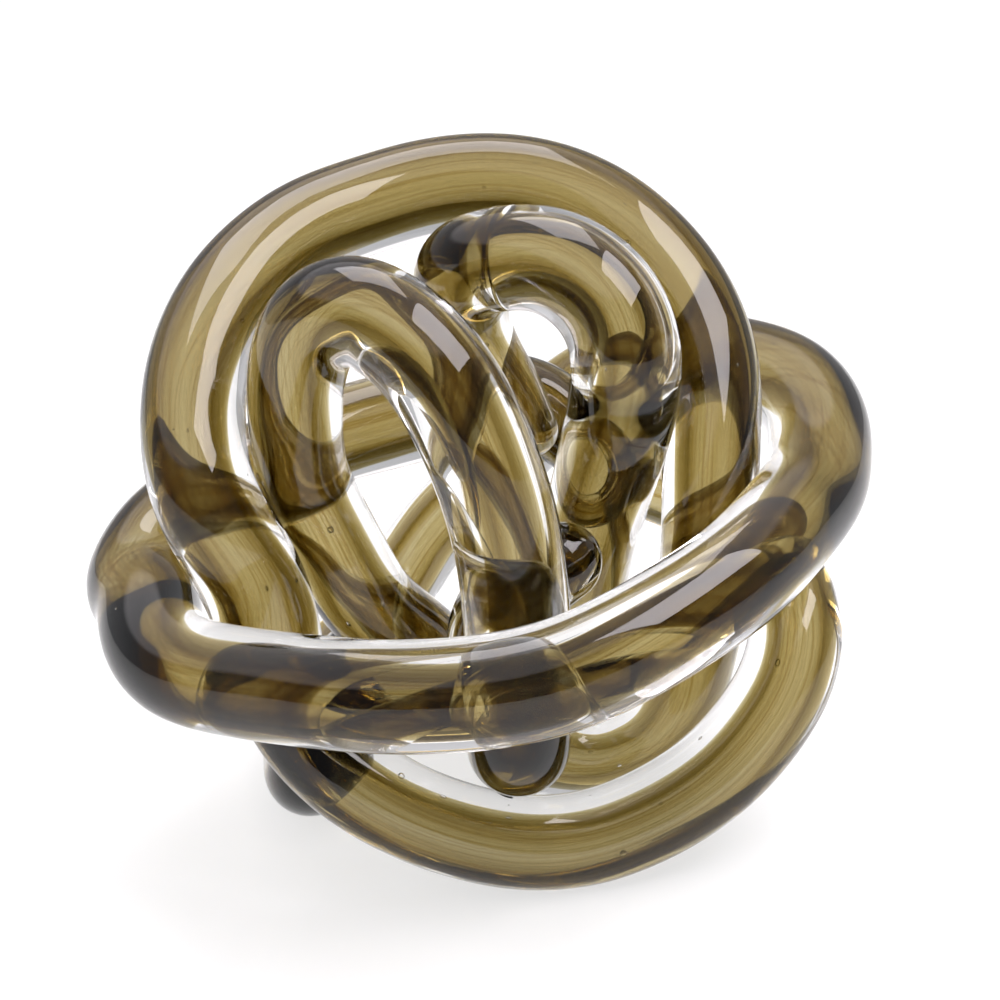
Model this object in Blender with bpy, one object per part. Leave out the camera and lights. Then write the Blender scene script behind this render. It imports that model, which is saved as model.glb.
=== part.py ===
"""A decorative glass ball: one thick glass rod, bent while hot into a loose round knot.

Units are metres, +Z is up. The origin is on the table, under the middle of the ball.
The rod's route is written as a glassmaker would lay it out by eye: stretch by stretch,
in hundredths of the ball's width, seen from in front and a little above.
"""

import math

import bmesh
import bpy
import numpy as np
from mathutils import Matrix, Vector

# Driving dimensions
BALL_DIAMETER = 0.152     # width of the finished ball
ROD_DIAMETER = 0.0192     # glass rod where its thickness share is 1
STRAND_GAP = 0.0004       # least space kept between two strands that pass each other
FLAT_DEPTH = 0.0008       # how much is ground off each of the three resting spots
SIGHT_ANGLE = math.radians(20.0)  # how far the eye that laid out the route looks down

# Faceting
ROD_SIDES = 16            # faces round the rod
RING_COUNT = 286          # rings along the rod, without those of its two rounded ends
END_RINGS = (12.0, 35.0, 60.0)  # degrees round each rounded end at which it has a ring
GUIDE_COUNT = 560         # points of the finer line on which the strands are eased apart
SPAN_STEPS = 12           # points laid between two of the route's own
WELD_REACH = 1e-6         # points closer than this are one

# Easing
ROUTE_SOFTNESS = 0.0030   # length over which the laid-out route is evened
PUSH_SOFTNESS = 0.0085    # length over which a push on one strand spreads along it
NEIGHBOUR_SHARE = 2.4     # rod diameters along the rod within which points are one bend
TIGHTEST_BEND = 1.12      # least bend radius, in radii of the rod
BEND_SOFTNESS = 0.0040    # length over which a bend that is too tight is rounded
EASING_ROUNDS = 260       # most rounds of easing
EASING_STEP = 0.9         # share of a lack of room that one round makes good
LACK_ALLOWED = 0.02       # share of STRAND_GAP that may be lacking when the easing stops
NO_DISTANCE = 1e-9        # keeps a point's distance to itself from being divided by
SETTLING_ROUNDS = 12      # turns in which the three feet are found and put level

# Feet: bearings at which the three sectors that hold one foot each start, in degrees
FOOT_SECTORS = (-130.0, -10.0, 110.0)
FOOT_SECTOR_WIDTH = 120.0

# Route: across to the right, up, towards the eye, share of the rod's thickness
ROUTE = {
    "tail end inside the right loop": [
        (8.0, 7.2, 1.0, 0.46), (6.5, 11.0, 1.5, 0.52), (3.8, 15.6, 2.5, 0.64),
        (0.6, 19.8, 3.5, 0.74), (-1.7, 24.0, 6.0, 0.88)],
    "right loop": [
        (-2.2, 27.4, 9.5, 0.98), (-1.4, 29.5, 14.5, 1.00), (2.6, 30.1, 18.5, 1.00),
        (6.8, 29.9, 21.5, 1.00), (11.4, 27.8, 24.5, 1.02), (15.6, 23.1, 26.5, 1.03),
        (17.1, 17.9, 26.5, 1.03), (16.8, 12.9, 24.0, 1.03), (15.9, 7.4, 18.0, 1.02),
        (14.6, 1.2, 10.5, 1.00)],
    "down and behind to the left foot": [
        (13.3, -5.0, 2.5, 1.00), (11.8, -12.4, -7.0, 1.00), (8.7, -18.8, -15.0, 1.00),
        (3.4, -22.2, -22.0, 1.00), (-4.0, -20.9, -24.5, 1.00), (-10.7, -19.7, -20.7, 1.00)],
    "left foot": [
        (-15.1, -20.5, -13.0, 0.99), (-17.7, -25.0, -5.9, 0.98), (-20.5, -31.0, -4.7, 0.97),
        (-22.2, -34.5, -9.3, 0.96), (-23.2, -34.0, -16.5, 0.96), (-23.4, -29.7, -22.6, 0.97),
        (-22.3, -24.6, -28.2, 0.97)],
    "up the back": [
        (-20.5, -22.0, -32.0, 0.96), (-16.8, -17.0, -37.0, 0.94), (-12.5, -11.5, -40.5, 0.92),
        (-7.3, -3.7, -42.5, 0.90), (2.9, 6.6, -42.5, 0.92), (14.2, 17.5, -37.0, 0.95),
        (25.2, 20.7, -28.0, 0.98), (35.2, 19.6, -14.5, 1.00)],
    "belt round the front": [
        (41.2, 15.9, -5.0, 1.02), (42.7, 11.0, 2.5, 1.03), (41.0, 5.6, 9.5, 1.03),
        (36.6, -0.9, 20.5, 1.02), (31.1, -6.3, 28.5, 1.02), (24.8, -10.5, 33.5, 1.02),
        (17.8, -14.5, 36.5, 1.02), (11.1, -17.7, 38.0, 1.02), (4.4, -19.6, 38.5, 1.02),
        (-2.2, -20.5, 38.0, 1.02), (-9.0, -20.9, 36.5, 1.02), (-17.0, -20.7, 33.5, 1.02),
        (-25.5, -19.8, 27.5, 1.02), (-32.7, -16.6, 19.5, 1.02), (-38.1, -12.0, 10.0, 1.02),
        (-43.2, -9.8, 3.0, 1.02), (-41.8, -3.8, -5.0, 1.02)],
    "across behind the middle": [
        (-37.4, 0.8, -13.0, 1.02), (-30.1, 5.5, -21.0, 1.04), (-19.3, 10.5, -26.0, 1.06),
        (-14.0, 12.0, -27.0, 1.08), (-5.6, 14.2, -27.0, 1.08), (2.8, 15.6, -26.0, 1.06),
        (9.3, 14.1, -25.0, 0.98), (15.0, 8.5, -23.5, 0.82), (22.0, 3.2, -21.0, 0.64),
        (28.0, 0.6, -17.0, 0.62), (33.5, -2.4, -11.0, 0.72)],
    "foot ring under the front": [
        (37.5, -7.0, -3.0, 0.86), (39.7, -13.7, 4.5, 0.93), (38.8, -20.0, 6.0, 0.94),
        (35.0, -26.9, 6.0, 0.94), (28.8, -33.5, 6.0, 0.94), (21.3, -38.2, 6.0, 0.94),
        (13.8, -41.0, 6.0, 0.94), (5.6, -41.5, 7.0, 0.94), (-2.5, -39.8, 8.0, 0.94),
        (-9.7, -36.9, 9.0, 0.94), (-15.9, -33.0, 9.5, 0.95), (-21.0, -28.2, 9.0, 0.96),
        (-25.0, -22.3, 9.5, 0.98)],
    "arch over the top": [
        (-28.0, -16.5, 11.5, 1.00), (-29.5, -10.5, 15.5, 1.02), (-31.3, -3.5, 19.0, 1.01),
        (-33.4, 3.6, 20.0, 1.00), (-34.3, 9.6, 18.0, 1.00), (-34.3, 16.7, 14.0, 1.01),
        (-32.1, 24.2, 9.0, 1.03), (-28.2, 30.5, 4.0, 1.03), (-21.9, 36.0, 0.0, 1.03),
        (-13.8, 39.5, -3.0, 1.03), (-6.5, 41.7, -4.0, 1.03), (0.0, 42.4, -4.0, 1.03),
        (7.8, 41.5, -3.0, 1.03), (14.6, 38.7, -2.0, 1.03), (19.9, 34.5, 0.0, 1.03),
        (24.4, 29.2, 2.0, 1.02), (27.3, 23.5, 4.0, 1.01), (28.9, 17.4, 6.0, 1.00),
        (29.3, 11.2, 8.0, 0.98), (29.6, 4.9, 9.5, 0.96), (29.2, -1.3, 10.0, 0.95),
        (28.2, -8.7, 7.0, 0.95), (27.2, -17.0, 0.0, 0.95)],
    "right foot": [
        (25.6, -24.5, -7.0, 0.95), (21.5, -30.5, -12.0, 0.95), (15.5, -33.0, -14.0, 0.95),
        (9.0, -30.8, -14.0, 0.95)],
    "left loop": [
        (2.7, -26.2, -13.0, 0.95), (-3.9, -21.9, -8.0, 0.95), (-10.0, -16.3, -1.5, 0.95),
        (-15.6, -10.8, 5.0, 0.95), (-19.5, -4.3, 9.5, 0.92), (-21.9, 2.2, 11.5, 0.90),
        (-22.3, 9.5, 17.0, 0.90), (-21.7, 15.9, 22.5, 0.92), (-19.7, 20.9, 27.0, 0.96),
        (-15.3, 23.2, 31.0, 1.00), (-9.9, 20.7, 33.0, 1.00), (-5.2, 16.1, 34.5, 1.00),
        (-1.9, 10.7, 34.5, 1.00), (0.4, 5.6, 33.5, 1.00), (2.3, 0.0, 31.5, 1.00),
        (3.6, -5.8, 29.0, 1.00), (4.3, -11.7, 26.0, 1.00), (4.6, -17.0, 23.3, 1.00)],
    "hairpin and head end": [
        (4.6, -22.0, 20.8, 1.00), (4.7, -26.6, 17.6, 1.00), (4.7, -29.1, 12.5, 1.00),
        (4.2, -27.4, 7.0, 1.00), (3.0, -22.4, 4.2, 1.00), (1.8, -16.8, 6.0, 0.98),
        (3.2, -11.6, 11.0, 0.92), (7.8, -7.5, 15.5, 0.82), (13.4, -2.9, 19.5, 0.70)],
}

# Colour and finish
SMOKY_AMBER = (0.30, 0.22, 0.10, 1.0)
GLASS_ROUGHNESS = 0.03
GLASS_REFRACTION = 1.5


def clear_scene():
    for obj in list(bpy.data.objects):
        bpy.data.objects.remove(obj, do_unlink=True)


def lengths_along(points):
    steps = np.linalg.norm(np.diff(points, axis=0), axis=1)
    return np.concatenate([[0.0], np.cumsum(steps)])


def spaced_evenly(points, count):
    """The same line with count points at equal steps; any further columns ride along."""
    along = lengths_along(points[:, :3])
    stations = np.linspace(0.0, along[-1], count)
    return np.stack([np.interp(stations, along, column) for column in points.T], axis=1)


def curved_through(points):
    """A smooth line through the points: cubic spans whose ends share their slopes."""
    along = lengths_along(points[:, :3])
    slopes = np.gradient(points, along, axis=0)
    pieces = []
    t = np.linspace(0.0, 1.0, SPAN_STEPS, endpoint=False)[:, None]
    for i in range(len(points) - 1):
        span = along[i + 1] - along[i]
        pieces.append(
            (2 * t**3 - 3 * t**2 + 1) * points[i]
            + (t**3 - 2 * t**2 + t) * span * slopes[i]
            + (3 * t**2 - 2 * t**3) * points[i + 1]
            + (t**3 - t**2) * span * slopes[i + 1]
        )
    return np.concatenate(pieces + [points[-1:]])


def evened(values, spacing, softness):
    """Rows averaged with their neighbours along the rod, the two ends held straight."""
    reach = int(math.ceil(3.0 * softness / spacing))
    offsets = np.arange(-reach, reach + 1)
    weights = np.exp(-0.5 * (offsets * spacing / softness) ** 2)
    weights /= weights.sum()
    before = 2.0 * values[0] - values[reach:0:-1]
    after = 2.0 * values[-1] - values[-2:-reach - 2:-1]
    padded = np.concatenate([before, values, after])
    columns = [np.convolve(column, weights, mode="valid") for column in padded.T]
    return np.stack(columns, axis=1)


def laid_out_route():
    """The route in metres, evened, as rows of across, up, towards the eye, radius."""
    rows = np.array([row for stretch in ROUTE.values() for row in stretch])
    rows[:, :3] *= BALL_DIAMETER / 100.0
    rows[:, 3] *= ROD_DIAMETER / 2.0
    line = spaced_evenly(curved_through(rows), GUIDE_COUNT)
    spacing = lengths_along(line[:, :3])[1]
    return spaced_evenly(evened(line, spacing, ROUTE_SOFTNESS), GUIDE_COUNT)


def bend_excess(line, spacing):
    """How far each point bends past the tightest bend allowed, from 0 to 1."""
    heading = np.gradient(line[:, :3], axis=0)
    heading /= np.linalg.norm(heading, axis=1)[:, None]
    curvature = np.linalg.norm(np.gradient(heading, axis=0), axis=1) / spacing
    return np.clip(curvature * line[:, 3] * TIGHTEST_BEND - 1.0, 0.0, 1.0)


def eased_apart(line):
    """Strands too close push each other away and bends too tight open, bit by bit."""
    for _ in range(EASING_ROUNDS):
        places, radii = line[:, :3], line[:, 3]
        spacing = lengths_along(places)[1]
        bend = int(NEIGHBOUR_SHARE * ROD_DIAMETER / spacing)
        between = places[:, None, :] - places[None, :, :]
        distance = np.linalg.norm(between, axis=2)
        wanted = radii[:, None] + radii[None, :] + STRAND_GAP
        index = np.arange(len(places))
        apart = np.abs(index[:, None] - index[None, :]) > bend
        lack = np.where(apart, np.maximum(wanted - distance, 0.0), 0.0)
        tight = bend_excess(line, spacing)
        if lack.max() < LACK_ALLOWED * STRAND_GAP:
            break
        away = between / np.maximum(distance, NO_DISTANCE)[:, :, None]
        strongest = lack.argmax(axis=1)
        push = away[index, strongest] * lack[index, strongest][:, None]
        spread = evened(push, spacing, PUSH_SOFTNESS)
        line = line.copy()
        line[:, :3] += EASING_STEP * spread
        rounding = evened(tight[:, None], spacing, BEND_SOFTNESS)
        line += rounding * (evened(line, spacing, BEND_SOFTNESS) - line)
        line = spaced_evenly(line, GUIDE_COUNT)
    return line


def standing(line):
    """From the eye's axes to the table's: X across, Y away from the eye, Z up."""
    across, up, near = line[:, 0], line[:, 1], line[:, 2]
    height = up * math.cos(SIGHT_ANGLE) + near * math.sin(SIGHT_ANGLE)
    front = near * math.cos(SIGHT_ANGLE) - up * math.sin(SIGHT_ANGLE)
    return np.stack([across, -front, height, line[:, 3]], axis=1)


def resting_turn(places, radii):
    """The small turn that puts the three lowest strands level under the middle."""
    turn = Matrix.Identity(3)
    for _ in range(SETTLING_ROUNDS):
        turned = places @ np.array(turn).T
        under = turned[:, 2] - radii
        feet = lowest_feet(turned, under)
        a, b, c = (Vector((*turned[i, :2], under[i])) for i in feet)
        normal = (b - a).cross(c - a).normalized()
        if normal.z < 0.0:
            normal.negate()
        turn = normal.rotation_difference(Vector((0.0, 0.0, 1.0))).to_matrix() @ turn
    return turn


def lowest_feet(places, under):
    """The lowest point in each third of the circle round the ball's middle."""
    middle = places[:, :2].mean(axis=0)
    bearing = np.degrees(np.arctan2(places[:, 1] - middle[1], places[:, 0] - middle[0]))
    feet = []
    for start in FOOT_SECTORS:
        inside = ((bearing - start) % 360.0) < FOOT_SECTOR_WIDTH
        candidates = np.where(inside)[0]
        feet.append(candidates[under[candidates].argmin()])
    return feet


def settled(line):
    """The knot set down on its three feet, its middle over the origin."""
    places, radii = line[:, :3], line[:, 3]
    turned = places @ np.array(resting_turn(places, radii)).T
    floor = (turned[:, 2] - radii).min() + FLAT_DEPTH
    low = (turned - radii[:, None]).min(axis=0)
    high = (turned + radii[:, None]).max(axis=0)
    middle = (low + high) / 2.0
    turned = turned - np.array([middle[0], middle[1], floor])
    return np.concatenate([turned, radii[:, None]], axis=1)


def with_round_ends(line):
    """Rings for the rod: even steps between, and a few close ones that round each end."""
    along = lengths_along(line[:, :3])
    total = along[-1]
    start_radius, end_radius = line[0, 3], line[-1, 3]
    even = np.linspace(start_radius, total - end_radius, RING_COUNT)
    rows = [(s, 1.0) for s in even]
    for degrees in reversed(END_RINGS):
        angle = math.radians(degrees)
        rows.insert(0, (start_radius * (1.0 - math.cos(angle)), math.sin(angle)))
    for degrees in reversed(END_RINGS):
        angle = math.radians(degrees)
        rows.append((total - end_radius * (1.0 - math.cos(angle)), math.sin(angle)))
    stations = np.array([s for s, _ in rows])
    shares = np.array([share for _, share in rows])
    rings = np.stack([np.interp(stations, along, column) for column in line.T], axis=1)
    rings[:, 3] *= shares
    return rings


def glass_material():
    material = bpy.data.materials.new("smoky amber glass")
    material.use_nodes = True
    shader = material.node_tree.nodes["Principled BSDF"]
    shader.inputs["Base Color"].default_value = SMOKY_AMBER
    shader.inputs["Roughness"].default_value = GLASS_ROUGHNESS
    shader.inputs["Metallic"].default_value = 0.0
    shader.inputs["IOR"].default_value = GLASS_REFRACTION
    return material


def swept_rod(rings):
    """The rod as a round tube along its rings, closed at both ends."""
    curve = bpy.data.curves.new("rod line", "CURVE")
    curve.dimensions = "3D"
    curve.bevel_depth = 1.0
    curve.bevel_resolution = (ROD_SIDES - 4) // 2
    curve.use_fill_caps = True
    spline = curve.splines.new("POLY")
    spline.points.add(len(rings) - 1)
    for point, (x, y, z, radius) in zip(spline.points, rings):
        point.co = (x, y, z, 1.0)
        point.radius = radius
    guide = bpy.data.objects.new("rod line", curve)
    bpy.context.scene.collection.objects.link(guide)
    bpy.context.view_layer.update()
    evaluated = guide.evaluated_get(bpy.context.evaluated_depsgraph_get())
    mesh = bpy.data.meshes.new_from_object(evaluated)
    bpy.data.objects.remove(guide, do_unlink=True)
    return mesh


def grind_feet(mesh):
    """Welds the ends shut and takes off what reaches under the table's height."""
    work = bmesh.new()
    work.from_mesh(mesh)
    bmesh.ops.remove_doubles(work, verts=work.verts, dist=WELD_REACH)
    everything = work.verts[:] + work.edges[:] + work.faces[:]
    cut = bmesh.ops.bisect_plane(
        work, geom=everything, plane_co=(0, 0, 0), plane_no=(0, 0, 1), clear_inner=True)
    rim = [e for e in cut["geom_cut"] if isinstance(e, bmesh.types.BMEdge)]
    bmesh.ops.edgeloop_fill(work, edges=rim)
    bmesh.ops.recalc_face_normals(work, faces=work.faces)
    work.to_mesh(mesh)
    work.free()


def main():
    clear_scene()
    line = settled(standing(eased_apart(laid_out_route())))
    mesh = swept_rod(with_round_ends(line))
    grind_feet(mesh)
    mesh.name = "knotted_glass_rod"
    mesh.materials.clear()
    mesh.materials.append(glass_material())
    rod = bpy.data.objects.new("knotted_glass_rod", mesh)
    collection = bpy.data.collections.new("decorative glass ball")
    bpy.context.scene.collection.children.link(collection)
    collection.objects.link(rod)
    mesh.shade_smooth()


if __name__ == "__main__":
    main()
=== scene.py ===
import math

import bmesh
import bpy
import numpy as np
from mathutils import Matrix, Vector


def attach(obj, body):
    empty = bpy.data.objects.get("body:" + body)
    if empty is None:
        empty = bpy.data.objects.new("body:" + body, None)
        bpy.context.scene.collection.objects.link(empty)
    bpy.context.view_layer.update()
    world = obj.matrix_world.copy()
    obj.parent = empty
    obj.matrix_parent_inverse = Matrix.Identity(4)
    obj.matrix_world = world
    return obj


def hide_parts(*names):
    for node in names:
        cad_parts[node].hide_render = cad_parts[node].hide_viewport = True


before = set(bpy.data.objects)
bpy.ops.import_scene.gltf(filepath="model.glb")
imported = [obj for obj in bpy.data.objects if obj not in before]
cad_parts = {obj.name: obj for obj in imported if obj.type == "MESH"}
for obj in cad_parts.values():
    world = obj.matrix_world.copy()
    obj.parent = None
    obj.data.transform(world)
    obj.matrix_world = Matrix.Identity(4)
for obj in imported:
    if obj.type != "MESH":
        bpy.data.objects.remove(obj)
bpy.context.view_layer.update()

# The rod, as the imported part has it
BALL_DIAMETER = 0.152
ROD_DIAMETER = 0.0192
STRAND_GAP = 0.0004
FLAT_DEPTH = 0.0008
SIGHT_ANGLE = math.radians(20.0)
GUIDE_COUNT = 560
SPAN_STEPS = 12
ROUTE_SOFTNESS = 0.0030
PUSH_SOFTNESS = 0.0085
NEIGHBOUR_SHARE = 2.4
TIGHTEST_BEND = 1.12
BEND_SOFTNESS = 0.0040
EASING_ROUNDS = 260
EASING_STEP = 0.9
LACK_ALLOWED = 0.02
NO_DISTANCE = 1e-9
SETTLING_ROUNDS = 12
FOOT_SECTORS = (-130.0, -10.0, 110.0)
FOOT_SECTOR_WIDTH = 120.0

# Route: across to the right, up, towards the eye, share of the rod's thickness
ROUTE = {
    "tail end inside the right loop": [
        (8.0, 7.2, 1.0, 0.46), (6.5, 11.0, 1.5, 0.52), (3.8, 15.6, 2.5, 0.64),
        (0.6, 19.8, 3.5, 0.74), (-1.7, 24.0, 6.0, 0.88)],
    "right loop": [
        (-2.2, 27.4, 9.5, 0.98), (-1.4, 29.5, 14.5, 1.00), (2.6, 30.1, 18.5, 1.00),
        (6.8, 29.9, 21.5, 1.00), (11.4, 27.8, 24.5, 1.02), (15.6, 23.1, 26.5, 1.03),
        (17.1, 17.9, 26.5, 1.03), (16.8, 12.9, 24.0, 1.03), (15.9, 7.4, 18.0, 1.02),
        (14.6, 1.2, 10.5, 1.00)],
    "down and behind to the left foot": [
        (13.3, -5.0, 2.5, 1.00), (11.8, -12.4, -7.0, 1.00), (8.7, -18.8, -15.0, 1.00),
        (3.4, -22.2, -22.0, 1.00), (-4.0, -20.9, -24.5, 1.00), (-10.7, -19.7, -20.7, 1.00)],
    "left foot": [
        (-15.1, -20.5, -13.0, 0.99), (-17.7, -25.0, -5.9, 0.98), (-20.5, -31.0, -4.7, 0.97),
        (-22.2, -34.5, -9.3, 0.96), (-23.2, -34.0, -16.5, 0.96), (-23.4, -29.7, -22.6, 0.97),
        (-22.3, -24.6, -28.2, 0.97)],
    "up the back": [
        (-20.5, -22.0, -32.0, 0.96), (-16.8, -17.0, -37.0, 0.94), (-12.5, -11.5, -40.5, 0.92),
        (-7.3, -3.7, -42.5, 0.90), (2.9, 6.6, -42.5, 0.92), (14.2, 17.5, -37.0, 0.95),
        (25.2, 20.7, -28.0, 0.98), (35.2, 19.6, -14.5, 1.00)],
    "belt round the front": [
        (41.2, 15.9, -5.0, 1.02), (42.7, 11.0, 2.5, 1.03), (41.0, 5.6, 9.5, 1.03),
        (36.6, -0.9, 20.5, 1.02), (31.1, -6.3, 28.5, 1.02), (24.8, -10.5, 33.5, 1.02),
        (17.8, -14.5, 36.5, 1.02), (11.1, -17.7, 38.0, 1.02), (4.4, -19.6, 38.5, 1.02),
        (-2.2, -20.5, 38.0, 1.02), (-9.0, -20.9, 36.5, 1.02), (-17.0, -20.7, 33.5, 1.02),
        (-25.5, -19.8, 27.5, 1.02), (-32.7, -16.6, 19.5, 1.02), (-38.1, -12.0, 10.0, 1.02),
        (-43.2, -9.8, 3.0, 1.02), (-41.8, -3.8, -5.0, 1.02)],
    "across behind the middle": [
        (-37.4, 0.8, -13.0, 1.02), (-30.1, 5.5, -21.0, 1.04), (-19.3, 10.5, -26.0, 1.06),
        (-14.0, 12.0, -27.0, 1.08), (-5.6, 14.2, -27.0, 1.08), (2.8, 15.6, -26.0, 1.06),
        (9.3, 14.1, -25.0, 0.98), (15.0, 8.5, -23.5, 0.82), (22.0, 3.2, -21.0, 0.64),
        (28.0, 0.6, -17.0, 0.62), (33.5, -2.4, -11.0, 0.72)],
    "foot ring under the front": [
        (37.5, -7.0, -3.0, 0.86), (39.7, -13.7, 4.5, 0.93), (38.8, -20.0, 6.0, 0.94),
        (35.0, -26.9, 6.0, 0.94), (28.8, -33.5, 6.0, 0.94), (21.3, -38.2, 6.0, 0.94),
        (13.8, -41.0, 6.0, 0.94), (5.6, -41.5, 7.0, 0.94), (-2.5, -39.8, 8.0, 0.94),
        (-9.7, -36.9, 9.0, 0.94), (-15.9, -33.0, 9.5, 0.95), (-21.0, -28.2, 9.0, 0.96),
        (-25.0, -22.3, 9.5, 0.98)],
    "arch over the top": [
        (-28.0, -16.5, 11.5, 1.00), (-29.5, -10.5, 15.5, 1.02), (-31.3, -3.5, 19.0, 1.01),
        (-33.4, 3.6, 20.0, 1.00), (-34.3, 9.6, 18.0, 1.00), (-34.3, 16.7, 14.0, 1.01),
        (-32.1, 24.2, 9.0, 1.03), (-28.2, 30.5, 4.0, 1.03), (-21.9, 36.0, 0.0, 1.03),
        (-13.8, 39.5, -3.0, 1.03), (-6.5, 41.7, -4.0, 1.03), (0.0, 42.4, -4.0, 1.03),
        (7.8, 41.5, -3.0, 1.03), (14.6, 38.7, -2.0, 1.03), (19.9, 34.5, 0.0, 1.03),
        (24.4, 29.2, 2.0, 1.02), (27.3, 23.5, 4.0, 1.01), (28.9, 17.4, 6.0, 1.00),
        (29.3, 11.2, 8.0, 0.98), (29.6, 4.9, 9.5, 0.96), (29.2, -1.3, 10.0, 0.95),
        (28.2, -8.7, 7.0, 0.95), (27.2, -17.0, 0.0, 0.95)],
    "right foot": [
        (25.6, -24.5, -7.0, 0.95), (21.5, -30.5, -12.0, 0.95), (15.5, -33.0, -14.0, 0.95),
        (9.0, -30.8, -14.0, 0.95)],
    "left loop": [
        (2.7, -26.2, -13.0, 0.95), (-3.9, -21.9, -8.0, 0.95), (-10.0, -16.3, -1.5, 0.95),
        (-15.6, -10.8, 5.0, 0.95), (-19.5, -4.3, 9.5, 0.92), (-21.9, 2.2, 11.5, 0.90),
        (-22.3, 9.5, 17.0, 0.90), (-21.7, 15.9, 22.5, 0.92), (-19.7, 20.9, 27.0, 0.96),
        (-15.3, 23.2, 31.0, 1.00), (-9.9, 20.7, 33.0, 1.00), (-5.2, 16.1, 34.5, 1.00),
        (-1.9, 10.7, 34.5, 1.00), (0.4, 5.6, 33.5, 1.00), (2.3, 0.0, 31.5, 1.00),
        (3.6, -5.8, 29.0, 1.00), (4.3, -11.7, 26.0, 1.00), (4.6, -17.0, 23.3, 1.00)],
    "hairpin and head end": [
        (4.6, -22.0, 20.8, 1.00), (4.7, -26.6, 17.6, 1.00), (4.7, -29.1, 12.5, 1.00),
        (4.2, -27.4, 7.0, 1.00), (3.0, -22.4, 4.2, 1.00), (1.8, -16.8, 6.0, 0.98),
        (3.2, -11.6, 11.0, 0.92), (7.8, -7.5, 15.5, 0.82), (13.4, -2.9, 19.5, 0.70)],
}

# The smoky amber layer's outside, as shares of the rod's radius from start to end of each stretch
CORE_SHARES = {
    "tail end inside the right loop": (0.38, 0.42),
    "right loop": (0.42, 0.40),
    "down and behind to the left foot": (0.40, 0.36),
    "left foot": (0.36, 0.36),
    "up the back": (0.48, 0.50),
    "belt round the front": (0.44, 0.48),
    "across behind the middle": (0.52, 0.52),
    "foot ring under the front": (0.52, 0.50),
    "arch over the top": (0.54, 0.56),
    "right foot": (0.36, 0.36),
    "left loop": (0.58, 0.36),
    "hairpin and head end": (0.36, 0.42),
}
CORE_WALL = 0.205         # the amber layer's thickness, in rod radii
CORE_LEAN = 0.15          # how far the layer lies towards the outside of a bend, in radii
FULL_LEAN_BEND = 0.060    # bend radius at which the layer leans that far
CORE_SOFTNESS = 0.012     # length over which the layer's width and lean change
CORE_FLOOR = 0.0005       # how far the layer stays above the table

# Unevenness of hand-drawn glass: swells along the rod and finer draw lines, with their noise
CASING_UNEVENNESS = 0.00030
CASING_SWELL_LENGTH = 0.030
CASING_DRAW_LINES = 0.00006
CASING_SEED = 3.0
CORE_UNEVENNESS = 0.0009
CORE_SWELL_LENGTH = 0.035
CORE_DRAW_LINES = 0.0004
CORE_SEED = 8.0
SWELLS_AROUND = 0.55
SWELL_DETAIL = 1.5
LINES_AROUND = 2.6
LINES_ALONG = 9.0         # to each metre of the rod
LINE_DETAIL = 2.0

# Streaks in the amber layer: patches round it, patches to each metre of it, and their tints
BANDS_AROUND = 1.5
BANDS_ALONG = 4.0
BAND_DETAIL = 1.0
BAND_TINTS = ((0.32, (0.82, 0.75, 0.55)), (0.45, (0.96, 0.94, 0.88)), (0.58, (1.0, 1.0, 1.0)))
THREADS_AROUND = 3.2
THREADS_ALONG = 2.0
THREAD_DETAIL = 0.0
THREAD_TINTS = (
    (0.33, (1.0, 1.0, 1.0)), (0.36, (0.78, 0.69, 0.50)), (0.39, (1.0, 1.0, 1.0)),
    (0.59, (1.0, 1.0, 1.0)), (0.62, (0.82, 0.75, 0.58)), (0.65, (1.0, 1.0, 1.0)))

# Seeds: the tiny bubbles drawn out along the rod
SEED_COUNT = 170
SEED_SMALLEST = 0.00006
SEED_LARGEST = 0.00030
SEED_STRETCH = 2.4        # length over width
SEED_REACH = 0.88         # how far from the rod's middle they lie, in its radii
SEED_PLACES = (0.01, 0.99)    # where on the rod's length they begin and end
SEED_SPREAD = (0.02, 1.0)     # least and most of that reach, squared
SEED_SMALLNESS = 3.0      # the higher, the more of them are small
SEED_SEGMENTS = 12
SEED_RINGS = 8
SEED_SALT = 5

# Painted shade: dark flakes put inside the glass where two strands nearly touch, for the shade
# between them
SHADE_FLAKE_GAP = 0.0012         # strands closer than this get a flake of painted shade between them
SHADE_FLAKE_SPACING = 0.014      # least distance between two flakes
SHADE_FLAKE_DEPTH = 0.0003       # how deep a flake lies below the skin of the glass
SHADE_FLAKE_LENGTH = 0.0060
SHADE_FLAKE_WIDTH = 0.0020
SHADE_FLAKE_THICKNESS = 0.00014
SHADE_FLAKE_RAGGEDNESS = 0.0011
SHADE_FLAKE_LENGTHS = (0.55, 1.25)   # shortest and longest, as shares of the length above
SHADE_FLAKE_WIDTHS = (0.6, 1.2)
SHADE_FLAKE_GRAIN = 900.0        # fineness of the noise that makes the edge ragged
SHADE_FLAKE_PATCHES = 1600.0     # fineness of the lighter patches
SHADE_FLAKE_DETAIL = 3.0
SHADE_FLAKE_SEGMENTS = 72
SHADE_FLAKE_RINGS = 10
SHADE_FLAKE_SALT = 2
# Colours of the painted shade between strands: near black, lighter grey in patches
SHADE_FLAKE_COLOURS = ((0.42, (0.035, 0.032, 0.030)), (0.62, (0.20, 0.185, 0.16)))
SHADE_FLAKE_ROUGHNESS = 0.35

# Glass
CASING_REFRACTION = 1.5
AMBER_REFRACTION = 1.0    # amber is fused to the casing, so light isn't bent again
AMBER_COLOUR = (0.524, 0.434, 0.050)
AMBER_DENSITY = 570.0

# Meshes
RING_COUNT = 1180
END_RING_STEP = 9.0       # degrees between the rings of a rounded end
CASING_SIDES = 64
CORE_RING_COUNT = 900
CORE_SIDES = 40

# Camera: where the eye that laid out the route stood
EYE_DISTANCE = 2.90       # in ball widths from the ball's middle
FOCAL_LENGTH = 81.7
SENSOR_WIDTH = 36.0
AIM_ACROSS = 0.0255
AIM_UP = 0.0128
CLIP_START = 0.01
CLIP_END = 20.0

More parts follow.
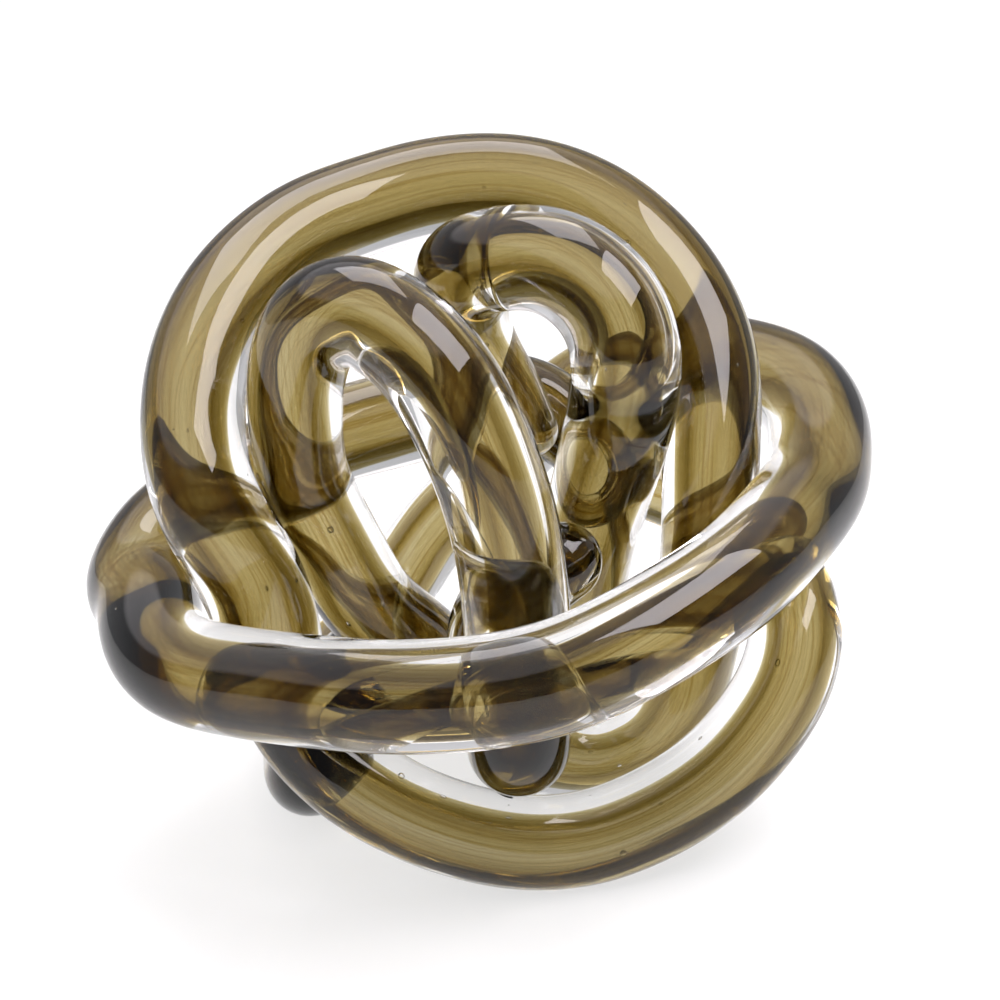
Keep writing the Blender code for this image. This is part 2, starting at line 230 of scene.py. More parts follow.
# Studio: a pale floor in a grey room that is darker towards the eye, with a glow overhead
FLOOR_HALF = 9.0
FLOOR_DROP = 0.0002       # how far the floor lies under the feet
FLOOR_SHADE = (0.36, 0.36, 0.36)
FLOOR_GLOW = 0.68
FLOOR_ROUGHNESS = 0.9
ROOM_SHADES = ((0.30, (0.50, 0.50, 0.52)), (0.82, (0.13, 0.13, 0.14)))
GLOW_SHADES = ((0.795, (0.0, 0.0, 0.0)), (0.84, (1.0, 0.95, 0.98)))
GLOW_AXIS = (-0.25, 0.92, 0.30)
ROOM_STRENGTH = 0.97

# Soft boxes: place from the eye's axes, width and height, power, tint
SOFT_BOXES = {
    "overhead soft box": ((-0.10, 1.0, 0.05), (0.60, 0.60), 5.4, (1.0, 0.96, 0.99)),
    "right soft box": ((0.34, 0.62, 0.46), (0.62, 0.46), 6.6, (1.0, 0.95, 0.98)),
}
GLASS_BOUNCES = 40
CLEAR_BOUNCES = 24


def lengths_along(points):
    steps = np.linalg.norm(np.diff(points, axis=0), axis=1)
    return np.concatenate([[0.0], np.cumsum(steps)])


def spaced_evenly(points, count):
    along = lengths_along(points[:, :3])
    stations = np.linspace(0.0, along[-1], count)
    return np.stack([np.interp(stations, along, column) for column in points.T], axis=1)


def curved_through(points):
    along = lengths_along(points[:, :3])
    slopes = np.gradient(points, along, axis=0)
    pieces = []
    t = np.linspace(0.0, 1.0, SPAN_STEPS, endpoint=False)[:, None]
    for i in range(len(points) - 1):
        span = along[i + 1] - along[i]
        pieces.append(
            (2 * t**3 - 3 * t**2 + 1) * points[i]
            + (t**3 - 2 * t**2 + t) * span * slopes[i]
            + (3 * t**2 - 2 * t**3) * points[i + 1]
            + (t**3 - t**2) * span * slopes[i + 1]
        )
    return np.concatenate(pieces + [points[-1:]])


def evened(values, spacing, softness):
    reach = int(math.ceil(3.0 * softness / spacing))
    offsets = np.arange(-reach, reach + 1)
    weights = np.exp(-0.5 * (offsets * spacing / softness) ** 2)
    weights /= weights.sum()
    before = 2.0 * values[0] - values[reach:0:-1]
    after = 2.0 * values[-1] - values[-2:-reach - 2:-1]
    padded = np.concatenate([before, values, after])
    columns = [np.convolve(column, weights, mode="valid") for column in padded.T]
    return np.stack(columns, axis=1)


def laid_out_route():
    rows = np.array([row for stretch in ROUTE.values() for row in stretch])
    rows[:, :3] *= BALL_DIAMETER / 100.0
    rows[:, 3] *= ROD_DIAMETER / 2.0
    line = spaced_evenly(curved_through(rows), GUIDE_COUNT)
    spacing = lengths_along(line[:, :3])[1]
    return spaced_evenly(evened(line, spacing, ROUTE_SOFTNESS), GUIDE_COUNT)


def bend_excess(line, spacing):
    heading = np.gradient(line[:, :3], axis=0)
    heading /= np.linalg.norm(heading, axis=1)[:, None]
    curvature = np.linalg.norm(np.gradient(heading, axis=0), axis=1) / spacing
    return np.clip(curvature * line[:, 3] * TIGHTEST_BEND - 1.0, 0.0, 1.0)


def eased_apart(line):
    for _ in range(EASING_ROUNDS):
        places, radii = line[:, :3], line[:, 3]
        spacing = lengths_along(places)[1]
        bend = int(NEIGHBOUR_SHARE * ROD_DIAMETER / spacing)
        between = places[:, None, :] - places[None, :, :]
        distance = np.linalg.norm(between, axis=2)
        wanted = radii[:, None] + radii[None, :] + STRAND_GAP
        index = np.arange(len(places))
        apart = np.abs(index[:, None] - index[None, :]) > bend
        lack = np.where(apart, np.maximum(wanted - distance, 0.0), 0.0)
        tight = bend_excess(line, spacing)
        if lack.max() < LACK_ALLOWED * STRAND_GAP:
            break
        away = between / np.maximum(distance, NO_DISTANCE)[:, :, None]
        strongest = lack.argmax(axis=1)
        push = away[index, strongest] * lack[index, strongest][:, None]
        spread = evened(push, spacing, PUSH_SOFTNESS)
        line = line.copy()
        line[:, :3] += EASING_STEP * spread
        rounding = evened(tight[:, None], spacing, BEND_SOFTNESS)
        line += rounding * (evened(line, spacing, BEND_SOFTNESS) - line)
        line = spaced_evenly(line, GUIDE_COUNT)
    return line


def lowest_feet(places, under):
    middle = places[:, :2].mean(axis=0)
    bearing = np.degrees(np.arctan2(places[:, 1] - middle[1], places[:, 0] - middle[0]))
    feet = []
    for start in FOOT_SECTORS:
        inside = ((bearing - start) % 360.0) < FOOT_SECTOR_WIDTH
        candidates = np.where(inside)[0]
        feet.append(candidates[under[candidates].argmin()])
    return feet


def resting_turn(places, radii):
    turn = Matrix.Identity(3)
    for _ in range(SETTLING_ROUNDS):
        turned = places @ np.array(turn).T
        under = turned[:, 2] - radii
        feet = lowest_feet(turned, under)
        a, b, c = (Vector((*turned[i, :2], under[i])) for i in feet)
        normal = (b - a).cross(c - a).normalized()
        if normal.z < 0.0:
            normal.negate()
        turn = normal.rotation_difference(Vector((0.0, 0.0, 1.0))).to_matrix() @ turn
    return np.array(turn)


def table_axes():
    """Rows that carry across, up, near to X, Y, Z of the table before the knot settles."""
    c, s = math.cos(SIGHT_ANGLE), math.sin(SIGHT_ANGLE)
    return np.array([[1.0, 0.0, 0.0], [0.0, s, -c], [0.0, c, s]])


def settled_rod():
    """The rod on its feet, as rows of x, y, z, radius, with the turn and shift it took."""
    line = eased_apart(laid_out_route())
    places, radii = line[:, :3] @ table_axes().T, line[:, 3]
    turn = resting_turn(places, radii)
    turned = places @ turn.T
    low = (turned - radii[:, None]).min(axis=0)
    high = (turned + radii[:, None]).max(axis=0)
    middle = (low + high) / 2.0
    shift = np.array([middle[0], middle[1], low[2] + FLAT_DEPTH])
    return np.concatenate([turned - shift, radii[:, None]], axis=1), turn @ table_axes(), shift


def stretch_values(shares):
    """A share for each guide point, going from start to end of its stretch of the route."""
    runs = [np.linspace(*shares[name], len(rows)) for name, rows in ROUTE.items()]
    rows = np.array([row for stretch in ROUTE.values() for row in stretch])
    at = lengths_along(rows[:, :3])
    return np.interp(np.linspace(0.0, at[-1], GUIDE_COUNT), at, np.concatenate(runs))


def leaning(line):
    """Vectors to the outside of each bend, up to one long where it is tight."""
    spacing = lengths_along(line[:, :3])[1]
    heading = np.gradient(line[:, :3], axis=0) / spacing
    bending = np.gradient(heading, axis=0) / spacing
    outside = -bending * FULL_LEAN_BEND
    size = np.linalg.norm(outside, axis=1)[:, None]
    outside = outside / np.maximum(size, 1.0)
    return evened(outside, spacing, CORE_SOFTNESS)


def rings_of(line, count):
    """Rings along the rod with its two ends rounded."""
    along = lengths_along(line[:, :3])
    total = along[-1]
    first, last = line[0, 3], line[-1, 3]
    angles = np.radians(np.arange(END_RING_STEP, 90.0, END_RING_STEP))
    stations = np.concatenate([
        first * (1.0 - np.cos(angles)),
        np.linspace(first, total - last, count),
        (total - last * (1.0 - np.cos(angles)))[::-1],
    ])
    shares = np.concatenate([np.sin(angles), np.ones(count), np.sin(angles)[::-1]])
    rings = np.stack([np.interp(stations, along, column) for column in line.T], axis=1)
    rings[:, 3] *= shares
    return rings, stations


def added(name, data):
    """A new object in the scene."""
    made = bpy.data.objects.new(name, data)
    bpy.context.scene.collection.objects.link(made)
    return made


def give_numbers(mesh, label, values):
    """A number, or a vector where a row holds three, for each point of the mesh."""
    vectors = values.ndim == 2
    layer = mesh.attributes.new(label, "FLOAT_VECTOR" if vectors else "FLOAT", "POINT")
    layer.data.foreach_set("vector" if vectors else "value", values.astype(np.float32).ravel())


def line_object(name, rings, stations):
    """A mesh line with the rod's radius, amber share, length and lean as its attributes."""
    mesh = bpy.data.meshes.new(name)
    edges = [(i, i + 1) for i in range(len(rings) - 1)]
    mesh.from_pydata([tuple(r[:3]) for r in rings], edges, [])
    give_numbers(mesh, "rod_radius", rings[:, 3])
    give_numbers(mesh, "core_share", rings[:, 4])
    give_numbers(mesh, "along", stations)
    give_numbers(mesh, "core_lean", rings[:, 5:8])
    return added(name, mesh)


# Nodes, for shapes and materials alike

def new_tree(name, inputs):
    """A node tree with a geometry input and output and the named inputs given."""
    tree = bpy.data.node_groups.new(name, "GeometryNodeTree")
    tree.interface.new_socket("Geometry", in_out="INPUT", socket_type="NodeSocketGeometry")
    for label, kind in inputs.items():
        tree.interface.new_socket(label, in_out="INPUT", socket_type="NodeSocket" + kind)
    tree.interface.new_socket("Geometry", in_out="OUTPUT", socket_type="NodeSocketGeometry")
    given = tree.nodes.new("NodeGroupInput").outputs
    return tree, given, tree.nodes.new("NodeGroupOutput").inputs[0]


def node(tree, kind, settings=None, **links):
    """A node with its settings; links name its input sockets, with spaces as underscores."""
    made = tree.nodes.new(kind)
    for label, value in (settings or {}).items():
        setattr(made, label, value)
    for label, source in links.items():
        numbered = label[0] == "i" and label[1:].isdigit()
        socket = made.inputs[int(label[1:]) if numbered else label.replace("_", " ")]
        if isinstance(source, bpy.types.NodeSocket):
            tree.links.new(source, socket)
        else:
            socket.default_value = source
    return made


def attribute(tree, label, kind="FLOAT"):
    made = node(tree, "GeometryNodeInputNamedAttribute", {"data_type": kind}, Name=label)
    return made.outputs["Attribute"]


def maths(tree, operation, a, b=0.0, c=0.0):
    return node(tree, "ShaderNodeMath", {"operation": operation}, i0=a, i1=b, i2=c).outputs[0]


def vector_maths(tree, operation, a, b):
    results = node(tree, "ShaderNodeVectorMath", {"operation": operation}, i0=a, i1=b).outputs
    return results["Value" if operation == "DOT_PRODUCT" else "Vector"]


def scaled(tree, vector, factor):
    made = node(tree, "ShaderNodeVectorMath", {"operation": "SCALE"}, i0=vector, Scale=factor)
    return made.outputs[0]


def either(tree, kind, switch, when_on, when_off):
    """One of two values, by a switch."""
    return node(tree, "GeometryNodeSwitch", {"input_type": kind}, Switch=switch,
                **{"True": when_on, "False": when_off}).outputs[0]


def chance(tree, low, high, seed, salt):
    """A random number for each element, from low to high."""
    salted = maths(tree, "ADD", seed, salt)
    made = node(tree, "FunctionNodeRandomValue", {"data_type": "FLOAT"}, i2=low, i3=high, i8=salted)
    return made.outputs[1]


def circled(tree, angle, size, onwards):
    """A place in the noise that comes round with the rod's section and moves on along it."""
    return node(tree, "ShaderNodeCombineXYZ",
                X=maths(tree, "MULTIPLY", maths(tree, "COSINE", angle), size),
                Y=maths(tree, "MULTIPLY", maths(tree, "SINE", angle), size),
                Z=onwards).outputs[0]


def shades(tree, factor, stops, interpolation="LINEAR"):
    """Colours that follow a factor from stop to stop."""
    made = node(tree, "ShaderNodeValToRGB", None, Fac=factor)
    ramp = made.color_ramp
    ramp.interpolation = interpolation
    while len(ramp.elements) < len(stops):
        ramp.elements.new(0.5)
    for element, (place, colour) in zip(ramp.elements, stops):
        element.position = place
        element.color = (*colour, 1.0)
    return made.outputs[0]


def smooth_result(tree, geometry, out):
    smooth = node(tree, "GeometryNodeSetShadeSmooth", Geometry=geometry).outputs[0]
    tree.links.new(smooth, out)
    return tree


# Shapes

def swept_glass_tree():
    """A rod swept along its line, uneven as hand-drawn glass is, or the layer inside it."""
    tree, given, out = new_tree("hand-drawn glass rod", {
        "Sides": "Int", "Core": "Bool", "Wall": "Float", "Lean": "Float", "Unevenness": "Float",
        "Swell Length": "Float", "Draw Lines": "Float", "Seed": "Float", "Floor": "Float"})
    curve = node(tree, "GeometryNodeMeshToCurve", Mesh=given["Geometry"]).outputs[0]
    radius = attribute(tree, "rod_radius")
    layer_radius = maths(tree, "MULTIPLY", radius, attribute(tree, "core_share"))
    chosen = either(tree, "FLOAT", given["Core"], layer_radius, radius)
    push = maths(tree, "MULTIPLY", radius, given["Lean"])
    lean = scaled(tree, attribute(tree, "core_lean", "FLOAT_VECTOR"), push)
    leaned = node(tree, "GeometryNodeSetPosition", Geometry=curve, Offset=lean).outputs[0]
    ring = node(tree, "GeometryNodeCurvePrimitiveCircle", {"mode": "RADIUS"},
                Resolution=given["Sides"], Radius=1.0).outputs[0]
    turn_share = node(tree, "GeometryNodeSplineParameter").outputs["Factor"]
    ring = node(tree, "GeometryNodeStoreNamedAttribute", {"data_type": "FLOAT", "domain": "POINT"},
                Geometry=ring, Name="around", Value=turn_share).outputs[0]
    angle = maths(tree, "MULTIPLY", attribute(tree, "around"), 2.0 * math.pi)
    along = attribute(tree, "along")

    def uneven(size, around, onwards, detail):
        noise = node(tree, "ShaderNodeTexNoise", {"noise_dimensions": "4D"},
                     Vector=circled(tree, angle, around, onwards), W=given["Seed"], Scale=1.0,
                     Detail=detail).outputs["Fac"]
        return maths(tree, "MULTIPLY", maths(tree, "SUBTRACT", noise, 0.5), size)

    swells_on = maths(tree, "DIVIDE", along, given["Swell Length"])
    swelling = uneven(given["Unevenness"], SWELLS_AROUND, swells_on, SWELL_DETAIL)
    lines_on = maths(tree, "MULTIPLY", along, LINES_ALONG)
    lining = uneven(given["Draw Lines"], LINES_AROUND, lines_on, LINE_DETAIL)
    normal = node(tree, "GeometryNodeInputNormal").outputs[0]
    moved = scaled(tree, normal, maths(tree, "ADD", swelling, lining))

    def skin(width):
        swept = node(tree, "GeometryNodeCurveToMesh", Curve=leaned, Profile_Curve=ring,
                     Scale=width, Fill_Caps=True).outputs[0]
        return node(tree, "GeometryNodeSetPosition", Geometry=swept, Offset=moved).outputs[0]

    outside = skin(chosen)
    wall = maths(tree, "MULTIPLY", radius, given["Wall"])
    inside = skin(maths(tree, "SUBTRACT", chosen, wall))
    inside = node(tree, "GeometryNodeFlipFaces", Mesh=inside).outputs[0]
    layer = tree.nodes.new("GeometryNodeJoinGeometry")
    for side in (outside, inside):
        tree.links.new(side, layer.inputs[0])
    shape = either(tree, "GEOMETRY", given["Core"], layer.outputs[0], outside)
    place = node(tree, "GeometryNodeInputPosition").outputs[0]
    parts = node(tree, "ShaderNodeSeparateXYZ", Vector=place).outputs
    ground = node(tree, "ShaderNodeCombineXYZ", X=parts[0], Y=parts[1],
                  Z=maths(tree, "MAXIMUM", parts[2], given["Floor"])).outputs[0]
    standing = node(tree, "GeometryNodeSetPosition", Geometry=shape, Position=ground).outputs[0]
    return smooth_result(tree, standing, out)


def seeds_tree():
    """Tiny drawn-out bubbles scattered inside the rod, as hollows whose faces look inwards."""
    tree, given, out = new_tree("seeds in the glass", {
        "Count": "Int", "Smallest": "Float", "Largest": "Float", "Stretch": "Float",
        "Reach": "Float", "Seed": "Int"})
    seed = given["Seed"]
    curve = node(tree, "GeometryNodeMeshToCurve", Mesh=given["Geometry"]).outputs[0]
    points = node(tree, "GeometryNodePoints", Count=given["Count"]).outputs[0]
    sample = node(tree, "GeometryNodeSampleCurve", {"mode": "FACTOR", "data_type": "FLOAT"},
                  Curves=curve, Value=attribute(tree, "rod_radius"),
                  Factor=chance(tree, *SEED_PLACES, seed, 0.0)).outputs
    tangent, normal = sample["Tangent"], sample["Normal"]
    binormal = vector_maths(tree, "CROSS_PRODUCT", tangent, normal)
    angle = chance(tree, 0.0, 2.0 * math.pi, seed, 1.0)
    away = maths(tree, "SQRT", chance(tree, *SEED_SPREAD, seed, 2.0))
    away = maths(tree, "MULTIPLY", away, given["Reach"])
    away = maths(tree, "MULTIPLY", away, sample["Value"])
    aside = scaled(tree, normal, maths(tree, "MULTIPLY", maths(tree, "COSINE", angle), away))
    across = scaled(tree, binormal, maths(tree, "MULTIPLY", maths(tree, "SINE", angle), away))
    offset = vector_maths(tree, "ADD", aside, across)
    place = vector_maths(tree, "ADD", sample["Position"], offset)
    placed = node(tree, "GeometryNodeSetPosition", Geometry=points, Position=place).outputs[0]
    share = maths(tree, "POWER", chance(tree, 0.0, 1.0, seed, 3.0), SEED_SMALLNESS)
    width = node(tree, "ShaderNodeMapRange", Value=share, To_Min=given["Smallest"],
                 To_Max=given["Largest"]).outputs[0]
    size = node(tree, "ShaderNodeCombineXYZ", X=width, Y=width,
                Z=maths(tree, "MULTIPLY", width, given["Stretch"])).outputs[0]
    turn = node(tree, "FunctionNodeAlignRotationToVector", {"axis": "Z"}, Vector=tangent).outputs[0]
    bubble = node(tree, "GeometryNodeMeshUVSphere", Segments=SEED_SEGMENTS, Rings=SEED_RINGS,
                  Radius=1.0).outputs["Mesh"]
    spread = node(tree, "GeometryNodeInstanceOnPoints", Points=placed, Instance=bubble,
                  Rotation=turn, Scale=size).outputs[0]
    real = node(tree, "GeometryNodeRealizeInstances", Geometry=spread).outputs[0]
    hollow = node(tree, "GeometryNodeFlipFaces", Mesh=real).outputs[0]
    return smooth_result(tree, hollow, out)


def shade_flakes_tree():
    """A thin ragged flake of painted shade at each point, across its gap_normal and along its
    gap_run.
    """
    tree, given, out = new_tree("painted shade between strands", {
        "Length": "Float", "Width": "Float", "Thickness": "Float", "Raggedness": "Float",
        "Seed": "Int"})
    seed = given["Seed"]
    points = node(tree, "GeometryNodeMeshToPoints", Mesh=given["Geometry"]).outputs[0]
    gap = attribute(tree, "gap_normal", "FLOAT_VECTOR")
    run = attribute(tree, "gap_run", "FLOAT_VECTOR")
    flat = node(tree, "FunctionNodeAlignRotationToVector", {"axis": "Z"}, Vector=gap).outputs[0]
    turn = node(tree, "FunctionNodeAlignRotationToVector", {"axis": "X", "pivot_axis": "Z"},
                Rotation=flat, Vector=run).outputs[0]
    length = maths(tree, "MULTIPLY", given["Length"], chance(tree, *SHADE_FLAKE_LENGTHS, seed, 0.0))
    width = maths(tree, "MULTIPLY", given["Width"], chance(tree, *SHADE_FLAKE_WIDTHS, seed, 1.0))
    size = node(tree, "ShaderNodeCombineXYZ", X=length, Y=width, Z=given["Thickness"]).outputs[0]
    flake = node(tree, "GeometryNodeMeshUVSphere", Segments=SHADE_FLAKE_SEGMENTS, Rings=SHADE_FLAKE_RINGS,
                 Radius=0.5).outputs["Mesh"]
    spread = node(tree, "GeometryNodeInstanceOnPoints", Points=points, Instance=flake,
                  Rotation=turn, Scale=size).outputs[0]
    real = node(tree, "GeometryNodeRealizeInstances", Geometry=spread).outputs[0]
    place = node(tree, "GeometryNodeInputPosition").outputs[0]
    rough = node(tree, "ShaderNodeTexNoise", {"noise_dimensions": "3D"}, Vector=place,
                 Scale=SHADE_FLAKE_GRAIN, Detail=SHADE_FLAKE_DETAIL).outputs["Color"]
    shove = vector_maths(tree, "SUBTRACT", rough, (0.5, 0.5, 0.5))
    shove = scaled(tree, shove, given["Raggedness"])
    through = scaled(tree, gap, vector_maths(tree, "DOT_PRODUCT", shove, gap))
    within = vector_maths(tree, "SUBTRACT", shove, through)
    ragged = node(tree, "GeometryNodeSetPosition", Geometry=real, Offset=within).outputs[0]
    return smooth_result(tree, ragged, out)


def shade_flake_points(line):
    """A point just under the skin of the glass wherever two strands all but touch, for a flake of
    painted shade.
    """
    places, radii = line[:, :3], line[:, 3]
    spacing = lengths_along(places)[1]
    heading = np.gradient(places, axis=0) / spacing
    between = places[None, :, :] - places[:, None, :]
    distance = np.linalg.norm(between, axis=2)
    index = np.arange(len(places))
    neighbours = int(NEIGHBOUR_SHARE * ROD_DIAMETER / spacing)
    apart = (index[None, :] - index[:, None]) > neighbours
    gap = np.where(apart, distance - radii[:, None] - radii[None, :], np.inf)
    chosen = []
    for flat in np.argsort(gap, axis=None):
        i, j = divmod(int(flat), len(places))
        if gap[i, j] > SHADE_FLAKE_GAP:
            break
        normal = between[i, j] / distance[i, j]
        middle = places[i] + normal * (radii[i] - SHADE_FLAKE_DEPTH)
        if all(np.linalg.norm(middle - other[0]) > SHADE_FLAKE_SPACING for other in chosen):
            run = heading[i] + math.copysign(1.0, heading[i] @ heading[j]) * heading[j]
            chosen.append((middle, normal, run / np.linalg.norm(run)))
    mesh = bpy.data.meshes.new("shade flake places")
    mesh.from_pydata([tuple(c[0]) for c in chosen], [], [])
    give_numbers(mesh, "gap_normal", np.array([c[1] for c in chosen]))
    give_numbers(mesh, "gap_run", np.array([c[2] for c in chosen]))
    return added("shade flake places", mesh)


def join_into(keeper, other):
    """Makes the second piece's faces part of the first one's mesh."""
    work = bmesh.new()
    work.from_mesh(keeper.data)
    work.from_mesh(other.data)
    work.to_mesh(keeper.data)
    work.free()
    bpy.data.objects.remove(other, do_unlink=True)


def made_by_nodes(name, source, tree, material, values):
    """The plain mesh that the tree makes of the source object, as a piece of that name."""
    modifier = source.modifiers.new(name, "NODES")
    modifier.node_group = tree
    for item in tree.interface.items_tree:
        if item.name in values:
            modifier[item.identifier] = values[item.name]
    evaluated = source.evaluated_get(bpy.context.evaluated_depsgraph_get())
    mesh = bpy.data.meshes.new_from_object(evaluated)
    source.modifiers.remove(modifier)
    mesh.materials.clear()
    mesh.materials.append(material)
    mesh.polygons.foreach_set("material_index", np.zeros(len(mesh.polygons), dtype=np.int32))
    mesh.name = name
    return added(name, mesh)


# Materials

def surface(name, **values):
    """A material with plain values on its shader, spaces in their names as underscores."""
    material = bpy.data.materials.new(name)
    material.use_nodes = True
    shader = material.node_tree.nodes["Principled BSDF"]
    for label, value in values.items():
        shader.inputs[label.replace("_", " ")].default_value = value
    return material


def colour_by(material, colour):
    """Links a colour from the material's nodes to its shader."""
    tree = material.node_tree
    tree.links.new(colour, tree.nodes["Principled BSDF"].inputs["Base Color"])


def clear_glass():
    return surface("clear glass casing", Base_Color=(1.0, 1.0, 1.0, 1.0), Roughness=0.0,
                   IOR=CASING_REFRACTION, Transmission_Weight=1.0)


def smoky_glass():
    """Amber that takes light away on its way through, with streaks tinted on its skins."""
    material = surface("smoky amber core", Roughness=0.0, IOR=AMBER_REFRACTION,
                       Transmission_Weight=1.0)
    tree = material.node_tree
    around = node(tree, "ShaderNodeAttribute", {"attribute_name": "around"}).outputs["Fac"]
    along = node(tree, "ShaderNodeAttribute", {"attribute_name": "along"}).outputs["Fac"]
    turn = maths(tree, "MULTIPLY", around, 2.0 * math.pi)

    def streaks(patches_around, patches_along, detail, tints):
        at = circled(tree, turn, patches_around, maths(tree, "MULTIPLY", along, patches_along))
        noise = node(tree, "ShaderNodeTexNoise", Vector=at, Scale=1.0, Detail=detail).outputs["Fac"]
        return shades(tree, noise, tints)

    bands = streaks(BANDS_AROUND, BANDS_ALONG, BAND_DETAIL, BAND_TINTS)
    threads = streaks(THREADS_AROUND, THREADS_ALONG, THREAD_DETAIL, THREAD_TINTS)
    colour_by(material, vector_maths(tree, "MULTIPLY", bands, threads))
    absorption = node(tree, "ShaderNodeVolumeAbsorption", Color=(*AMBER_COLOUR, 1.0),
                      Density=AMBER_DENSITY).outputs[0]
    tree.links.new(absorption, tree.nodes["Material Output"].inputs["Volume"])
    return material


def painted_shade_glass():
    """Painted shade between strands: dark grey, dull and cloudy, lighter in patches."""
    material = surface("painted contact shade", Roughness=SHADE_FLAKE_ROUGHNESS)
    tree = material.node_tree
    place = node(tree, "ShaderNodeTexCoord").outputs["Object"]
    noise = node(tree, "ShaderNodeTexNoise", Vector=place, Scale=SHADE_FLAKE_PATCHES, Detail=SHADE_FLAKE_DETAIL)
    colour_by(material, shades(tree, noise.outputs["Fac"], SHADE_FLAKE_COLOURS))
    return material


# Studio

def pale_floor():
    mesh = bpy.data.meshes.new("pale studio floor")
    corners = ((-1.0, -1.0), (1.0, -1.0), (1.0, 1.0), (-1.0, 1.0))
    places = [(x * FLOOR_HALF, y * FLOOR_HALF, 0.0) for x, y in corners]
    mesh.from_pydata(places, [], [(0, 1, 2, 3)])
    mesh.materials.append(surface(
        "pale paper sweep", Base_Color=(*FLOOR_SHADE, 1.0), Emission_Color=(1.0, 1.0, 1.0, 1.0),
        Emission_Strength=FLOOR_GLOW, Roughness=FLOOR_ROUGHNESS, Specular_IOR_Level=0.0))
    floor = added("pale_studio_floor", mesh)
    floor.location.z = -FLOOR_DROP


def from_eye(axes, shift, across, up, near):
    """A place given in the eye's axes, in metres from the ball's middle."""
    return axes @ np.array([across, up, near]) - shift


def soft_box(name, place, target, size, power, colour):
    light = bpy.data.lights.new(name, "AREA")
    light.shape = "RECTANGLE"
    light.size = size[0]
    light.size_y = size[1]
    light.energy = power
    light.color = colour
    made = added(name, light)
    made.location = Vector(place)
    made.rotation_euler = (Vector(target) - Vector(place)).to_track_quat("-Z", "Y").to_euler()


def studio_world(toward_eye, toward_glow):
    """A grey room, darker towards the eye, with a soft-edged glow overhead."""
    world = bpy.data.worlds.new("grey studio")
    world.use_nodes = True
    tree = world.node_tree
    tree.nodes.clear()
    direction = node(tree, "ShaderNodeTexCoord").outputs["Generated"]

    def shades_towards(axis, stops):
        facing = vector_maths(tree, "DOT_PRODUCT", direction, tuple(axis))
        return shades(tree, maths(tree, "MULTIPLY_ADD", facing, 0.5, 0.5), stops, "EASE")

    room = shades_towards(toward_eye, ROOM_SHADES)
    glow = shades_towards(toward_glow, GLOW_SHADES)
    background = node(tree, "ShaderNodeBackground", Color=vector_maths(tree, "ADD", glow, room),
                      Strength=ROOM_STRENGTH).outputs[0]
    tree.links.new(background, tree.nodes.new("ShaderNodeOutputWorld").inputs[0])
    bpy.context.scene.world = world


def photo_camera(axes, shift):
    """The camera at the eye that laid out the route; gives back the direction towards it."""
    eye = from_eye(axes, shift, 0.0, 0.0, EYE_DISTANCE * BALL_DIAMETER)
    aim = from_eye(axes, shift, AIM_ACROSS * BALL_DIAMETER, AIM_UP * BALL_DIAMETER, 0.0)
    back = Vector(eye - aim).normalized()
    up = Vector(axes @ np.array([0.0, 1.0, 0.0]))
    right = up.cross(back).normalized()
    up = back.cross(right)
    data = bpy.data.cameras.new("photo camera")
    data.lens = FOCAL_LENGTH
    data.sensor_width = SENSOR_WIDTH
    data.clip_start = CLIP_START
    data.clip_end = CLIP_END
    camera = added("photo camera", data)
    turn = Matrix((right, up, back)).transposed().to_4x4()
    camera.matrix_world = Matrix.Translation(Vector(eye)) @ turn
    bpy.context.scene.camera = camera
    return back


# The object

line, axes, shift = settled_rod()
spacing = lengths_along(line[:, :3])[1]
core_shares = evened(stretch_values(CORE_SHARES)[:, None], spacing, CORE_SOFTNESS)
full_line = np.concatenate([line, core_shares, leaning(line)], axis=1)
fine_line = spaced_evenly(curved_through(full_line), RING_COUNT * 2)
rod_tree = swept_glass_tree()
casing_glass = clear_glass()

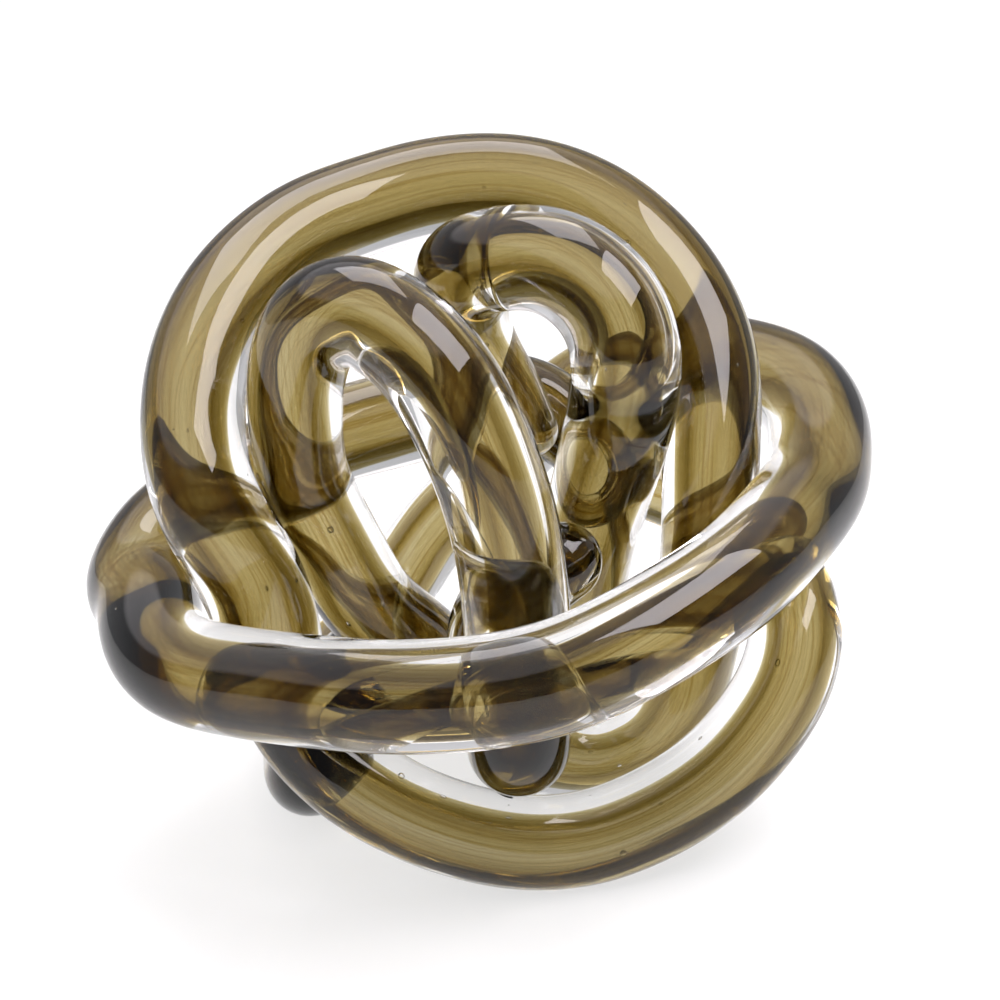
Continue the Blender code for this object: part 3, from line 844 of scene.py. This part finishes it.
rod_line = line_object("rod line", *rings_of(fine_line, RING_COUNT))
casing = made_by_nodes("clear_glass_rod", rod_line, rod_tree, casing_glass, {
    "Sides": CASING_SIDES, "Core": False, "Wall": 0.0, "Lean": 0.0,
    "Unevenness": CASING_UNEVENNESS, "Swell Length": CASING_SWELL_LENGTH,
    "Draw Lines": CASING_DRAW_LINES, "Seed": CASING_SEED, "Floor": 0.0})
core_line = line_object("core line", *rings_of(fine_line, CORE_RING_COUNT))
core = made_by_nodes("smoky_amber_core", core_line, rod_tree, smoky_glass(), {
    "Sides": CORE_SIDES, "Core": True, "Wall": CORE_WALL, "Lean": CORE_LEAN,
    "Unevenness": CORE_UNEVENNESS, "Swell Length": CORE_SWELL_LENGTH,
    "Draw Lines": CORE_DRAW_LINES, "Seed": CORE_SEED, "Floor": CORE_FLOOR})
seeds = made_by_nodes("seeds", rod_line, seeds_tree(), casing_glass, {
    "Count": SEED_COUNT, "Smallest": SEED_SMALLEST, "Largest": SEED_LARGEST,
    "Stretch": SEED_STRETCH, "Reach": SEED_REACH, "Seed": SEED_SALT})
join_into(casing, seeds)
# Flakes of painted shade where strands nearly touch
shade_flake_source = shade_flake_points(line)
shade_flakes = made_by_nodes("strand_contact_painted_shade", shade_flake_source, shade_flakes_tree(), painted_shade_glass(), {
    "Length": SHADE_FLAKE_LENGTH, "Width": SHADE_FLAKE_WIDTH, "Thickness": SHADE_FLAKE_THICKNESS,
    "Raggedness": SHADE_FLAKE_RAGGEDNESS, "Seed": SHADE_FLAKE_SALT})
for source in (rod_line, core_line, shade_flake_source):
    bpy.data.objects.remove(source, do_unlink=True)

for piece in (casing, core, shade_flakes):
    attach(piece, "root")
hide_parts("knotted_glass_rod")

pale_floor()
toward_eye = photo_camera(axes, shift)
studio_world(toward_eye, axes @ np.array(GLOW_AXIS))
ball_middle = from_eye(axes, shift, 0.0, 0.0, 0.0)
for name, (place, size, power, tint) in SOFT_BOXES.items():
    soft_box(name, from_eye(axes, shift, *place), ball_middle, size, power, tint)
scene = bpy.context.scene
scene.view_settings.view_transform = "Standard"
scene.cycles.max_bounces = GLASS_BOUNCES
scene.cycles.transmission_bounces = GLASS_BOUNCES
scene.cycles.transparent_max_bounces = CLEAR_BOUNCES
